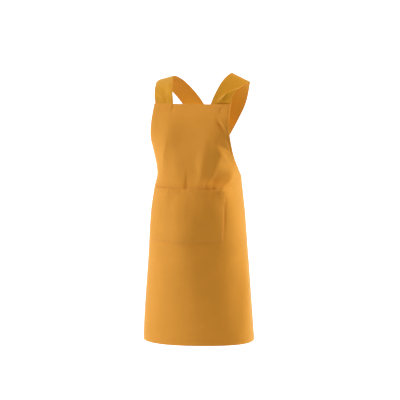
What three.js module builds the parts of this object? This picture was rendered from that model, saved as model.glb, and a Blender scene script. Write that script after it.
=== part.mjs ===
// A cross-back kitchen apron of mustard cotton canvas, in the form it takes when it is worn.
// Millimetres, +Z up. The wearer faces -Y, and +X is the wearer's left.
// The origin lies midway between the two shoulder crests, level with the lower one of them.
//
// The bib and skirt are one sheet of cloth that wraps round the body and stays open down the back.
// A place on that sheet is given by its arc, measured along the cloth from the centre front
// (positive towards the wearer's left), and by its height z.

import * as THREE from "three";

// Cloth
const CLOTH = 1.2; // one layer of canvas
const HEM_CLOTH = 2.2; // a turned and stitched edge
const STRAP_CLOTH = 1.6; // the strap is folded double and pressed
const SEAM_GAP = 0.7; // clearance between sewn pieces

// The main sheet, as it is cut
const NECKLINE_Z = -82;
const HEM_Z = -867;
const BIB_HALF_ARC = 138;
const BACK_CORNER_ARC = 365;
const BACK_CORNER_Z = -345;
const HEM_HALF_ARC = 446;
const ARMHOLE_DROP_Z = -200; // how far the armhole runs straight down from the bib corner
const ARMHOLE_TURN_ARC = 156; // where it turns towards the back
const EDGE_HEM = 12; // width of the turned edge at the armholes and the back
const HITCH = 10; // the skirt hangs askew: raised by this on the left, lowered on the right
const HITCH_ARC = 150; // distance from the centre over which that builds up
const HITCH_TOP_Z = -350;
const HITCH_LOW_Z = -650;
const YOKE_Z = -420; // centre-front height of the cloth line that ends at the back corners

// The patch pocket
const POCKET_HALF_ARC = 134;
const POCKET_TOP_Z = -355;
const POCKET_DEPTH = 170;
const POCKET_GAPE = 9.5; // how far the mouth stands open at its middle
const POCKET_SEAT = 1.3; // clearance behind the pocket along its seams

// The straps
const STRAP_WIDTH = 70;
const STRAP_BIB_ARC = 102; // middle of the strap where it is sewn behind the bib
const STRAP_BACK_ARC = 322; // middle of the strap where it is sewn behind the back panel
const STRAP_BACK_SPAN = 78; // the strap is cut on the slant there, so its end is longer
const STRAP_TAIL = 26; // length of strap hidden behind each seam
const STRAP_LEAD = 7; // height above the back edge at which it is already inside the cloth
const STRAP_LIFT = 3.6; // how far the upper strap rides over the lower one
const RIDGE_UP = 0.6; // the bunched fold of the left strap stands up and ahead in these shares
const RIDGE_AHEAD = 0.8;
// From the chest over the crest: how much higher the left strap sits on its shoulder, and how much
// less the right strap slopes across its own.
const LEFT_RISE = [0, 2.5, 4, 3];
const RIGHT_LEVEL = [0, 0.1, 0.18, 0.1];

// Grid steps
const ARMHOLE_ROWS = 36;
const SKIRT_ROWS = 13;
const HALF_COLUMNS = 22;
const POCKET_ROWS = 8;
const POCKET_COLUMNS = 20;
const STRAP_ROWS = 38;
const STRAP_COLUMNS = 6;

// Level ovals that the cloth hangs round: half of the width, the furthest points in front and
// behind, and how square the oval is (2 is an ellipse).
const SECTIONS = [
  { z: -40, halfWidth: 170, front: -70, back: 66, square: 5.0 },
  { z: -84, halfWidth: 172, front: -87, back: 84, square: 5.0 },
  { z: -130, halfWidth: 172, front: -108, back: 95, square: 4.6 },
  { z: -178, halfWidth: 168, front: -118, back: 99, square: 4.0 },
  { z: -230, halfWidth: 153, front: -123, back: 95, square: 3.2 },
  { z: -310, halfWidth: 139, front: -126, back: 80, square: 2.6 },
  { z: -356, halfWidth: 146, front: -138, back: 74, square: 2.5 },
  { z: -445, halfWidth: 159, front: -148, back: 77, square: 2.4 },
  { z: -600, halfWidth: 172, front: -149, back: 86, square: 2.3 },
  { z: -867, halfWidth: 192, front: -144, back: 91, square: 2.2 },
];

// Soft folds in the sheet. Each runs straight from its top (arc, z) to its low end (toArc, toZ), is
// width to toWidth wide, stands out by rise (a dent where negative), is fullest at a share of its
// run, and is lean times as wide on the side of the wearer's left.
const FOLDS = [
  // Bib and waist on the wearer's left
  { arc: 88, z: -133, toArc: 44, toZ: -361, width: 34, toWidth: 9, rise: 6.4, fullest: 0.65, lean: 1.4 },
  { arc: 112, z: -121, toArc: 47, toZ: -349, width: 21, toWidth: 14, rise: -1.3, fullest: 0.44, lean: 1 },
  { arc: 137, z: -205, toArc: 61, toZ: -353, width: 27, toWidth: 9, rise: 5.7, fullest: 0.5, lean: 0.65 },
  { arc: 85, z: -195, toArc: 166, toZ: -300, width: 8, toWidth: 16, rise: 2.4, fullest: 0.3, lean: 0.65 },
  { arc: 138, z: -265, toArc: 83, toZ: -311, width: 19, toWidth: 8, rise: 2.9, fullest: 0.45, lean: 1 },
  { arc: 182, z: -281, toArc: 68, toZ: -340, width: 11, toWidth: 13, rise: -7.4, fullest: 0.75, lean: 1.2 },
  { arc: 168, z: -292, toArc: 102, toZ: -392, width: 8, toWidth: 23, rise: 7.3, fullest: 0.65, lean: 1.75 },
  { arc: 169, z: -318, toArc: 117, toZ: -363, width: 10, toWidth: 9, rise: -3.1, fullest: 0.47, lean: 1 },
  { arc: 99, z: -85, toArc: 160, toZ: -300, width: 8, toWidth: 37, rise: -5, fullest: 0.83, lean: 0.9 },
  // Bib and waist in the middle and on the wearer's right
  { arc: -46, z: -89, toArc: -101, toZ: -343, width: 44, toWidth: 8, rise: 6.3, fullest: 0.37, lean: 1.35 },
  { arc: -37, z: -182, toArc: -29, toZ: -361, width: 20, toWidth: 23, rise: 3, fullest: 0.4, lean: 2.3 },
  { arc: 9, z: -280, toArc: 17, toZ: -367, width: 11, toWidth: 15, rise: -2.8, fullest: 0.78, lean: 1.75 },
  // Skirt, from the middle to the wearer's left, then the right
  { arc: -15, z: -323, toArc: 31, toZ: -768, width: 47, toWidth: 79, rise: 10, fullest: 0.2, lean: 1.2 },
  { arc: 102, z: -384, toArc: 113, toZ: -916, width: 51, toWidth: 80, rise: -10, fullest: 0.29, lean: 2.15 },
  { arc: 231, z: -469, toArc: 241, toZ: -984, width: 31, toWidth: 35, rise: 5, fullest: 0.37, lean: 1 },
  { arc: 231, z: -557, toArc: 196, toZ: -977, width: 17, toWidth: 39, rise: 5, fullest: 0.46, lean: 1 },
  { arc: -207, z: -519, toArc: -202, toZ: -978, width: 20, toWidth: 45, rise: 5, fullest: 0.68, lean: 1.9 },
  // Flutes beside the open back edges
  { arc: 345, z: -430, toArc: 372, toZ: -960, width: 26, toWidth: 36, rise: 8, fullest: 0.75, lean: 1 },
  { arc: -345, z: -430, toArc: -372, toZ: -960, width: 26, toWidth: 36, rise: 8, fullest: 0.75, lean: 1 },
];

// Middle line of the left strap from the chest, over the shoulder crest and down the back to the
// wearer's right. The across columns give the direction of its width, towards the outer edge.
// Behind the crest its y comes from the back of the level ovals. drawnIn is how far the outer edge
// of the left strap bunches towards its middle, and ridge how high the fold along that edge stands.
const STRAP_STATIONS = [
  { x: 111, y: -66, z: -53, acrossX: 0.98, acrossY: 0.06, acrossZ: -0.18, drawnIn: 11, ridge: 5 }, // chest
  { x: 124, y: -37, z: -19, acrossX: 0.93, acrossY: 0.02, acrossZ: -0.36, drawnIn: 5, ridge: 4 }, // collar
  { x: 136, y: 0, z: 0, acrossX: 0.91, acrossY: 0, acrossZ: -0.41, drawnIn: 1, ridge: 0 }, // crest
  { x: 120, y: 35, z: -16, acrossX: 0.91, acrossY: 0.06, acrossZ: -0.41, drawnIn: 0, ridge: 0 }, // shoulder
  { x: 88, z: -68, acrossX: 0.87, acrossY: 0, acrossZ: -0.49, drawnIn: 0, ridge: 0 }, // blade
  { x: 49, z: -134, acrossX: 0.85, acrossY: 0, acrossZ: -0.53, drawnIn: 0, ridge: 0 }, // upper back
  { x: 6, z: -206, acrossX: 0.85, acrossY: 0, acrossZ: -0.53, drawnIn: 0, ridge: 0 }, // crossing
  { x: -38, z: -276, acrossX: 0.88, acrossY: 0, acrossZ: -0.48, drawnIn: 0, ridge: 0 }, // lower back
];

// Value of one column of a table at height z, by a smooth cubic through its rows.
function columnAt(table, column, z) {
  const last = table.length - 1;
  let i = table.findIndex((row) => row.z < z) - 1;
  if (i < -1) i = last - 1;
  i = THREE.MathUtils.clamp(i, 0, last - 1);
  const [before, above, below, after] = [i - 1, i, i + 1, i + 2].map(
    (n) => table[THREE.MathUtils.clamp(n, 0, last)],
  );
  const slope = (a, b) => (b === a ? 0 : (b[column] - a[column]) / (b.z - a.z));
  const span = below.z - above.z;
  const t = THREE.MathUtils.clamp((z - above.z) / span, 0, 1);
  const slopeAbove = slope(before, below) * span;
  const slopeBelow = slope(above, after) * span;
  const t2 = t * t;
  const t3 = t2 * t;
  return (
    above[column] * (2 * t3 - 3 * t2 + 1) +
    below[column] * (3 * t2 - 2 * t3) +
    slopeAbove * (t3 - 2 * t2 + t) +
    slopeBelow * (t3 - t2)
  );
}

// The oval at height z as a fine line from the centre front to the centre back of the left side,
// with the arc from the front at each of its points.
const OVAL_STEPS = 90;
const ovals = new Map();
function ovalAt(z) {
  if (ovals.has(z)) return ovals.get(z);
  const halfWidth = columnAt(SECTIONS, "halfWidth", z);
  const front = columnAt(SECTIONS, "front", z);
  const back = columnAt(SECTIONS, "back", z);
  const square = columnAt(SECTIONS, "square", z);
  const middle = (front + back) / 2;
  const halfDepth = (back - front) / 2;
  const line = [];
  for (let i = 0; i <= OVAL_STEPS; i++) {
    const turn = (Math.PI * i) / OVAL_STEPS;
    const side = Math.sin(turn) / halfWidth;
    const ahead = Math.abs(Math.cos(turn)) / halfDepth;
    const reach = Math.pow(Math.pow(side, square) + Math.pow(ahead, square), -1 / square);
    const point = { x: reach * Math.sin(turn), y: middle - reach * Math.cos(turn), arc: 0 };
    if (i > 0) {
      const previous = line[i - 1];
      point.arc = previous.arc + Math.hypot(point.x - previous.x, point.y - previous.y);
    }
    line.push(point);
  }
  ovals.set(z, line);
  return line;
}

// Point of the smooth, unfolded cloth at an arc and a height.
function smoothCloth(arc, z) {
  const line = ovalAt(z);
  const wanted = Math.abs(arc);
  let i = line.findIndex((point) => point.arc >= wanted);
  if (i < 1) i = i === 0 ? 1 : OVAL_STEPS;
  const [a, b] = [line[i - 1], line[i]];
  const t = (wanted - a.arc) / (b.arc - a.arc);
  const side = Math.sign(arc) || 1;
  return new THREE.Vector3(side * (a.x + t * (b.x - a.x)), a.y + t * (b.y - a.y), z);
}

// Direction in which the unfolded cloth faces at an arc and a height.
function clothNormal(arc, z) {
  const step = 4;
  const along = smoothCloth(arc + step, z).sub(smoothCloth(arc - step, z));
  const up = smoothCloth(arc, z + step).sub(smoothCloth(arc, z - step));
  return along.cross(up).normalize();
}

// Height of the cloth that was cut at an arc and height z, once the skirt hangs askew.
function hungZ(arc, z) {
  const fall = THREE.MathUtils.smoothstep(-z, -HITCH_TOP_Z, -HITCH_LOW_Z);
  return z + HITCH * Math.tanh(arc / HITCH_ARC) * fall;
}

// How far the folds lift the cloth at an arc and a height.
function foldLift(arc, z) {
  let lift = 0;
  for (const fold of FOLDS) {
    const top = new THREE.Vector2(fold.arc, fold.z);
    const down = new THREE.Vector2(fold.toArc, fold.toZ).sub(top);
    const length = down.length();
    const offset = new THREE.Vector2(arc, z).sub(top);
    const run = offset.dot(down) / length ** 2;
    if (run <= 0 || run >= 1) continue;
    const aside = offset.cross(down) / length;
    const share = run < fold.fullest ? run / fold.fullest : (1 - run) / (1 - fold.fullest);
    const strength = THREE.MathUtils.smoothstep(share, 0, 1);
    const width = THREE.MathUtils.lerp(fold.width, fold.toWidth, run) * (aside < 0 ? fold.lean : 1);
    lift += fold.rise * strength * Math.exp(-((aside / width) ** 2));
  }
  return lift;
}

// Point at a distance outside (or, if negative, inside) the outer face of the unfolded cloth.
function besideCloth(arc, z, distance) {
  return smoothCloth(arc, z).addScaledVector(clothNormal(arc, z), distance);
}

// Closed solid of a sheet whose outer face is a grid of points, row by row, with its thickness
// taken inwards. Rows run downwards and columns towards the wearer's left.
function sheetSolid(outer, thicknessAt) {
  const rows = outer.length;
  const columns = outer[0].length;
  const clampRow = (r) => THREE.MathUtils.clamp(r, 0, rows - 1);
  const clampColumn = (c) => THREE.MathUtils.clamp(c, 0, columns - 1);
  const inner = outer.map((row, r) =>
    row.map((point, c) => {
      const along = row[clampColumn(c + 1)].clone().sub(row[clampColumn(c - 1)]);
      const down = outer[clampRow(r + 1)][c].clone().sub(outer[clampRow(r - 1)][c]);
      const outward = down.cross(along).normalize();
      return point.clone().addScaledVector(outward, -thicknessAt(r, c));
    }),
  );
  const outside = (r, c) => r * columns + c;
  const inside = (r, c) => rows * columns + outside(r, c);
  const index = [];
  const corners = [...outer.flat(), ...inner.flat()];
  const quad = (a, b, c, d) => {
    const first = corners[a].distanceTo(corners[c]);
    const second = corners[b].distanceTo(corners[d]);
    if (first <= second) index.push(a, b, c, a, c, d);
    else index.push(a, b, d, b, c, d);
  };
  for (let r = 0; r < rows - 1; r++) {
    for (let c = 0; c < columns - 1; c++) {
      quad(outside(r, c), outside(r + 1, c), outside(r + 1, c + 1), outside(r, c + 1));
      quad(inside(r, c), inside(r, c + 1), inside(r + 1, c + 1), inside(r + 1, c));
    }
    const right = columns - 1;
    quad(outside(r, 0), inside(r, 0), inside(r + 1, 0), outside(r + 1, 0));
    quad(outside(r, right), outside(r + 1, right), inside(r + 1, right), inside(r, right));
  }
  for (let c = 0; c < columns - 1; c++) {
    const low = rows - 1;
    quad(outside(0, c), outside(0, c + 1), inside(0, c + 1), inside(0, c));
    quad(outside(low, c), inside(low, c), inside(low, c + 1), outside(low, c + 1));
  }
  const positions = corners.flatMap((point) => point.toArray());
  const geometry = new THREE.BufferGeometry();
  geometry.setAttribute("position", new THREE.Float32BufferAttribute(positions, 3));
  geometry.setIndex(index);
  geometry.computeVertexNormals();
  return geometry;
}

// The armhole edge of the flat cut: x is the arc and y the height.
const armhole = new THREE.CubicBezierCurve(
  new THREE.Vector2(BIB_HALF_ARC, NECKLINE_Z),
  new THREE.Vector2(BIB_HALF_ARC, ARMHOLE_DROP_Z),
  new THREE.Vector2(ARMHOLE_TURN_ARC, BACK_CORNER_Z),
  new THREE.Vector2(BACK_CORNER_ARC, BACK_CORNER_Z),
);

// Height of the armhole edge at an arc.
function armholeZ(arc) {
  const fine = armhole.getPoints(200);
  return fine.find((point) => point.x >= arc).y;
}

// Cross lines of the sheet from the neckline to the hem. Each has its half width, the height of
// its ends and its height at the centre front. Between them it sags as a parabola.
function crossLines() {
  const lines = armhole.getSpacedPoints(ARMHOLE_ROWS).map((end, i) => ({
    half: end.x,
    endZ: end.y,
    middleZ: THREE.MathUtils.lerp(NECKLINE_Z, YOKE_Z, i / ARMHOLE_ROWS),
  }));
  for (let i = 1; i <= SKIRT_ROWS; i++) {
    const share = i / SKIRT_ROWS;
    lines.push({
      half: THREE.MathUtils.lerp(BACK_CORNER_ARC, HEM_HALF_ARC, share),
      endZ: THREE.MathUtils.lerp(BACK_CORNER_Z, HEM_Z, share),
      middleZ: THREE.MathUtils.lerp(YOKE_Z, HEM_Z, share),
    });
  }
  return lines;
}

// Arcs of the columns of a cross line: evenly spaced, with a narrow one at each turned edge.
function columnArcs(half) {
  const arcs = [-half];
  const field = half - EDGE_HEM;
  const steps = 2 * (HALF_COLUMNS - 1);
  for (let i = 0; i <= steps; i++) arcs.push(field * ((2 * i) / steps - 1));
  arcs.push(half);
  return arcs;
}

function apronBody() {
  const grid = crossLines().map((line) =>
    columnArcs(line.half).map((arc) => {
      const z = hungZ(arc, THREE.MathUtils.lerp(line.middleZ, line.endZ, (arc / line.half) ** 2));
      return besideCloth(arc, z, foldLift(arc, z));
    }),
  );
  const lastRow = grid.length - 1;
  const lastColumn = grid[0].length - 1;
  const isEdge = (i, last) => i <= 1 || i >= last - 1;
  return sheetSolid(grid, (r, c) =>
    isEdge(r, lastRow) || isEdge(c, lastColumn) ? HEM_CLOTH : CLOTH,
  );
}

// The pocket lies on the sheet along its sewn sides and foot. Its mouth stands open and bridges the
// dents behind it.
function pocket() {
  const grid = [];
  for (let r = 0; r <= POCKET_ROWS; r++) {
    const fall = r / POCKET_ROWS;
    const row = [];
    for (let c = 0; c <= POCKET_COLUMNS; c++) {
      const across = (2 * c) / POCKET_COLUMNS - 1;
      const arc = POCKET_HALF_ARC * across;
      const z = hungZ(arc, POCKET_TOP_Z - POCKET_DEPTH * fall);
      const gape = POCKET_GAPE * (1 - across ** 4) * (1 - THREE.MathUtils.smoothstep(fall, 0, 0.9));
      const lift = foldLift(arc, z);
      const bridged = THREE.MathUtils.lerp(Math.max(0, lift), lift, fall);
      row.push(besideCloth(arc, z, bridged + gape + POCKET_SEAT + CLOTH));
    }
    grid.push(row);
  }
  return sheetSolid(grid, () => CLOTH);
}

// A strap is a band of lines that run side by side from behind the bib to behind the back panel.
// The strap from the left shoulder ends on the right, so its arcs are negative there. It is lifted
// where it crosses over the other one, and its outer edge bunches by a share of the table's values.
function strap(lift, bunching) {
  const inset = -(HEM_CLOTH + SEAM_GAP);
  const lines = [];
  for (let c = 0; c <= STRAP_COLUMNS; c++) {
    const across = (2 * c) / STRAP_COLUMNS - 1;
    const bibArc = STRAP_BIB_ARC + (across * STRAP_WIDTH) / 2;
    const backArc = -(STRAP_BACK_ARC + (across * STRAP_BACK_SPAN) / 2);
    const backZ = armholeZ(-backArc);
    const stations = STRAP_STATIONS.map((station, i) => {
      const outer = bunching * Math.max(0, across);
      const rise = bunching * (LEFT_RISE[i] ?? 0);
      const slope = station.acrossZ + (1 - bunching) * (RIGHT_LEVEL[i] ?? 0);
      const half = (across * STRAP_WIDTH) / 2 - outer * station.drawnIn;
      const ridge = 4 * station.ridge * outer * (1 - outer);
      const z = station.z + rise + half * slope + ridge * RIDGE_UP;
      const onBack = station.y === undefined;
      const y = onBack ? columnAt(SECTIONS, "back", z) + lift : station.y + half * station.acrossY;
      return new THREE.Vector3(station.x + half * station.acrossX, y - ridge * RIDGE_AHEAD, z);
    });
    lines.push(
      new THREE.CatmullRomCurve3([
        besideCloth(bibArc, NECKLINE_Z - STRAP_TAIL, inset),
        besideCloth(bibArc, NECKLINE_Z, inset),
        ...stations,
        besideCloth(backArc, backZ + STRAP_LEAD, inset),
        besideCloth(backArc, backZ - STRAP_TAIL, inset),
      ]),
    );
  }
  const grid = [];
  for (let r = 0; r <= STRAP_ROWS; r++) {
    grid.push(lines.map((line) => line.getPoint(r / STRAP_ROWS)));
  }
  return grid;
}

// The same band for the other shoulder, with the columns turned round so that it faces outwards.
function mirrored(grid) {
  return grid.map((row) =>
    row.map((point) => new THREE.Vector3(-point.x, point.y, point.z)).reverse(),
  );
}

const canvas = new THREE.MeshStandardMaterial({
  name: "mustard_canvas",
  color: 0xc98a2b,
  roughness: 0.9,
  metalness: 0,
});

function piece(name, geometry) {
  const mesh = new THREE.Mesh(geometry, canvas.clone());
  mesh.name = name;
  return mesh;
}

const apron = new THREE.Group();
apron.add(
  piece("apron_body", apronBody()),
  piece("pocket", pocket()),
  piece("strap_left", sheetSolid(strap(0, 1).reverse(), () => STRAP_CLOTH)),
  piece("strap_right", sheetSolid(mirrored(strap(STRAP_LIFT, 0)).reverse(), () => STRAP_CLOTH)),
);

export default apron;
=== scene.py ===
import math

import bpy
import numpy as np
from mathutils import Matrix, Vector


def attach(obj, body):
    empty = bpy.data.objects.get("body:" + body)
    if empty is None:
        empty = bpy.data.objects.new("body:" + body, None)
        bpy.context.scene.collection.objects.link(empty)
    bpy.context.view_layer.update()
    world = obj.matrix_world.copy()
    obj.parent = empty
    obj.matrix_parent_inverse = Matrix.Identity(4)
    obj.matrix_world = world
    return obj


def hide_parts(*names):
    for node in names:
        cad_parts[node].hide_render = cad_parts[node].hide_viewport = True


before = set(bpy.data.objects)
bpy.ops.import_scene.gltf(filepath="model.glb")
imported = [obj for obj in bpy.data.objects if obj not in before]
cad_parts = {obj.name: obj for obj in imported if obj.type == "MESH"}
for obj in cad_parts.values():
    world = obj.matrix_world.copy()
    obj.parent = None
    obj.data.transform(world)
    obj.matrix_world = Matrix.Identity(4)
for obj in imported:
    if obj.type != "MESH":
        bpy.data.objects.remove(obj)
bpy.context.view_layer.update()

# Apron body
# The bib and the skirt are one sheet of mustard cotton canvas that wraps round the wearer and stays
# open down the back. It hangs from the straps, with its edges turned in twice and stitched.

# Sizes are in millimetres. Arcs run along the cloth from the centre front towards the wearer's left,
# and heights are measured from the shoulders.
MM = 0.001
CANVAS = 0.9  # thickness of one layer
HEM_LAYERS = 2.2  # thickness of a turned edge once it is pressed
NECKLINE_Z, HEM_Z = -82.0, -867.0
BIB_HALF_ARC, BACK_CORNER_ARC, HEM_HALF_ARC = 138.0, 365.0, 446.0
BACK_CORNER_Z, ARMHOLE_DROP_Z, ARMHOLE_TURN_ARC = -345.0, -200.0, 156.0
YOKE_Z = -420.0  # where the row of threads that ends at the back corners crosses the centre front

# The skirt hangs askew: how far its left side is hitched up, the arc within which it gets there, and
# the heights between which it sets in.
HITCH, HITCH_ARC, HITCH_TOP_Z, HITCH_LOW_Z = 10.0, 150.0, -350.0, -650.0

# Level ovals that the cloth hangs round: height, half width, front, back, squareness.
HALF_WIDTH, FRONT, BACK, SQUARENESS = range(1, 5)
SECTIONS = np.array([
    (-867, 192, -144, 91, 2.2),
    (-600, 172, -149, 86, 2.3),
    (-445, 159, -148, 77, 2.4),
    (-356, 146, -138, 74, 2.5),
    (-310, 139, -126, 80, 2.6),
    (-230, 153, -123, 95, 3.2),
    (-178, 168, -118, 99, 4.0),
    (-130, 172, -108, 95, 4.6),
    (-84, 172, -87, 84, 5.0),
    (-40, 170, -70, 66, 5.0),
], float)

# Soft folds: arc and height of the top, of the low end, width at both, rise (a dent where negative),
# fullest share of the run, and how many times wider they are on the side of the wearer's left.
FOLDS = [
    (88, -133, 44, -361, 34, 9, 6.4, 0.65, 1.4),
    (112, -121, 47, -349, 21, 14, -1.3, 0.44, 1.0),
    (137, -205, 61, -353, 27, 9, 5.7, 0.5, 0.65),
    (85, -195, 166, -300, 8, 16, 2.4, 0.3, 0.65),
    (138, -265, 83, -311, 19, 8, 2.9, 0.45, 1.0),
    (182, -281, 68, -340, 11, 13, -7.4, 0.75, 1.2),
    (168, -292, 102, -392, 8, 23, 7.3, 0.65, 1.75),
    (169, -318, 117, -363, 10, 9, -3.1, 0.47, 1.0),
    (99, -85, 160, -300, 8, 37, -5.0, 0.83, 0.9),
    (-46, -89, -101, -343, 44, 8, 6.3, 0.37, 1.35),
    (-37, -182, -29, -361, 20, 23, 3.0, 0.4, 2.3),
    (9, -280, 17, -367, 11, 15, -2.8, 0.78, 1.75),
    (-15, -323, 31, -768, 47, 79, 10.0, 0.2, 1.2),
    (102, -384, 113, -916, 51, 80, -10.0, 0.29, 2.15),
    (231, -469, 241, -984, 31, 35, 5.0, 0.37, 1.0),
    (231, -557, 196, -977, 17, 39, 5.0, 0.46, 1.0),
    (-207, -519, -202, -978, 20, 45, 5.0, 0.68, 1.9),
    (345, -430, 372, -960, 26, 36, 8.0, 0.75, 1.0),
    (-345, -430, -372, -960, 26, 36, 8.0, 0.75, 1.0),
]

# Fine creases of the bib, in the same columns.
CREASES = [
    (96, -199, 168, -246, 6, 4, -2.8, 0.39, 1.2),
    (91, -122, 134, -178, 4, 5, -4.2, 0.5, 1.0),
    (100, -110, 142, -168, 5, 6, 2.6, 0.5, 1.0),
    (126, -158, 163, -268, 3, 3, -1.8, 0.5, 1.0),
    (162, -300, 102, -357, 12, 11, -4.6, 0.6, 0.45),
    (175, -300, 127, -354, 4, 4, 2.8, 0.5, 1.6),
    (98, -338, 99, -374, 6, 7, -4.5, 0.5, 1.0),
    (106, -280, 64, -362, 8, 9, 4.0, 0.65, 1.0),
    (130, -312, 112, -376, 11, 12, 3.0, 0.6, 1.2),
    (101, -85, 111, -125, 4.5, 4.5, -2.4, 0.42, 1.3),
    (109, -85, 125, -131, 6, 7, -1.2, 0.35, 1.2),
    (-65, -188, -94, -288, 6, 7, 1.3, 0.37, 1.0),
    (-67, -84, -58, -112, 4, 5, -1.2, 0.25, 1.0),
    (-1, -280, 9, -374, 3.5, 8, -2.4, 0.8, 1.0),
    (137.5, -352, 139.5, -532, 4, 4, -2.2, 0.5, 1.0),
    (-137.5, -352, -139.5, -532, 4, 4, -2.2, 0.5, 1.0),
]


def cubic(t, start, end, start_slope, end_slope):
    """Smooth line from start to end at shares t, with its slopes given for the whole step."""
    return (
        start * (2 * t**3 - 3 * t**2 + 1)
        + end * (3 * t**2 - 2 * t**3)
        + start_slope * (t**3 - 2 * t**2 + t)
        + end_slope * (t**3 - t**2)
    )


def section_at(z, column):
    """A column of the section table at heights z, by a smooth cubic through its rows."""
    heights, values = SECTIONS[:, 0], SECTIONS[:, column]
    slopes = np.empty(len(heights))
    slopes[1:-1] = (values[2:] - values[:-2]) / (heights[2:] - heights[:-2])
    slopes[0] = (values[1] - values[0]) / (heights[1] - heights[0])
    slopes[-1] = (values[-1] - values[-2]) / (heights[-1] - heights[-2])
    z = np.clip(z, heights[0], heights[-1])
    k = np.clip(np.searchsorted(heights, z, "right") - 1, 0, len(heights) - 2)
    span = heights[k + 1] - heights[k]
    t = (z - heights[k]) / span
    return cubic(t, values[k], values[k + 1], span * slopes[k], span * slopes[k + 1])


RUNG_STEP, TURN_STEPS = 3.0, 181  # how finely the ovals are worked out
SLOPE_REACH = 4.0  # how far to each side the slope of the unfolded cloth is read


def hang(arc, z):
    """Points of the smooth, unfolded cloth at arcs from the centre front and heights."""
    arc, z = np.broadcast_arrays(np.asarray(arc, float), np.asarray(z, float))
    low, high = z.min() - 1, z.max() + 1
    rungs = np.linspace(low, high, max(3, int((high - low) / RUNG_STEP)))
    turn = np.linspace(0, math.pi, TURN_STEPS)
    width, front, back, square = (
        section_at(rungs, column)[:, None] for column in (HALF_WIDTH, FRONT, BACK, SQUARENESS)
    )
    middle, depth = (front + back) / 2, (back - front) / 2
    sideways, forwards = np.sin(turn) / width, np.abs(np.cos(turn)) / depth
    reach = (sideways**square + forwards**square) ** (-1 / square)
    x, y = reach * np.sin(turn), middle - reach * np.cos(turn)
    run = np.zeros_like(x)
    run[:, 1:] = np.cumsum(np.hypot(np.diff(x), np.diff(y)), axis=1)
    wanted, place = np.abs(arc).ravel(), (z.ravel() - low) / (high - low) * (len(rungs) - 1)
    rung = np.clip(place.astype(int), 0, len(rungs) - 2)
    found = np.empty((2, 2, wanted.size))
    for step in (0, 1):
        for r in np.unique(rung):
            at = rung == r
            found[step, 0, at] = np.interp(wanted[at], run[r + step], x[r + step])
            found[step, 1, at] = np.interp(wanted[at], run[r + step], y[r + step])
    t = place - rung
    px, py = found[0] * (1 - t) + found[1] * t
    px = px * np.where(arc.ravel() < 0, -1, 1)
    return np.stack([px, py, z.ravel()], axis=1).reshape(arc.shape + (3,))


def unit(directions):
    """Directions brought to length one."""
    return directions / np.linalg.norm(directions, axis=-1, keepdims=True)


def hang_normal(arc, z):
    """Direction in which the unfolded cloth faces."""
    along = hang(arc + SLOPE_REACH, z) - hang(arc - SLOPE_REACH, z)
    up = hang(arc, z + SLOPE_REACH) - hang(arc, z - SLOPE_REACH)
    return unit(np.cross(along, up))


def ease(t):
    """Smooth step from 0 to 1."""
    t = np.clip(t, 0, 1)
    return t * t * (3 - 2 * t)


NARROWEST_FOLD = 2.0


def fold_lift(arc, z, folds):
    """How far a table of folds lifts the cloth."""
    lift = np.zeros(np.broadcast(arc, z).shape)
    for top_arc, top_z, low_arc, low_z, top_width, low_width, rise, fullest, lean in folds:
        da, dz = low_arc - top_arc, low_z - top_z
        length = math.hypot(da, dz)
        run = ((arc - top_arc) * da + (z - top_z) * dz) / length**2
        aside = ((arc - top_arc) * dz - (z - top_z) * da) / length
        share = np.where(run < fullest, run / fullest, (1 - run) / (1 - fullest))
        width = np.maximum(top_width + (low_width - top_width) * run, NARROWEST_FOLD)
        width = width * np.where(aside < 0, lean, 1)
        lift += rise * ease(share) * np.exp(-((aside / width) ** 2))
    return lift


def hung_z(arc, z):
    """Height of the cloth once the skirt hangs a little askew."""
    share = ease((HITCH_TOP_Z - z) / (HITCH_TOP_Z - HITCH_LOW_Z))
    return z + HITCH * np.tanh(arc / HITCH_ARC) * share


# The end of each strap, sewn behind the bib, shows through as a low step with soft edges.
STRAP_WIDTH, STRAP_BIB_ARC, STRAP_TAIL = 70.0, 102.0, 26.0
STRAP_PRINT, PRINT_EDGE = 0.7, 4.0


def body_face(arc, cut_z):
    """Points of the outer face of the body at arcs and heights of the flat cut."""
    z = hung_z(arc, cut_z)
    lift = fold_lift(arc, z, FOLDS) + fold_lift(arc, z, CREASES)
    from_middle = np.abs(np.abs(arc) - STRAP_BIB_ARC)
    over_strap = ease((STRAP_WIDTH / 2 + PRINT_EDGE / 2 - from_middle) / PRINT_EDGE)
    over_tail = ease((cut_z - NECKLINE_Z + STRAP_TAIL + PRINT_EDGE / 2) / PRINT_EDGE)
    lift += STRAP_PRINT * over_strap * over_tail
    return hang(arc, z) + hang_normal(arc, z) * lift[..., None]


def facing_of(grid):
    """Outward direction at each point of a grid whose rows run down and columns towards the left."""
    return unit(np.cross(np.gradient(grid, axis=0), np.gradient(grid, axis=1)))


FINE_SHARES = np.linspace(0, 1, 2001)  # close steps along the armhole edge


def armhole_line(shares):
    """Points at shares of the length of the armhole edge of the flat cut, as arcs and heights."""
    t = FINE_SHARES[:, None]
    top, drop = np.array([BIB_HALF_ARC, NECKLINE_Z]), np.array([BIB_HALF_ARC, ARMHOLE_DROP_Z])
    turn = np.array([ARMHOLE_TURN_ARC, BACK_CORNER_Z])
    corner = np.array([BACK_CORNER_ARC, BACK_CORNER_Z])
    line = top * (1 - t) ** 3 + 3 * drop * t * (1 - t) ** 2 + 3 * turn * t**2 * (1 - t) + corner * t**3
    run = np.concatenate([[0], np.cumsum(np.hypot(*np.diff(line, axis=0).T))])
    even = np.asarray(shares) * run[-1]
    return np.interp(even, run, line[:, 0]), np.interp(even, run, line[:, 1])


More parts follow.
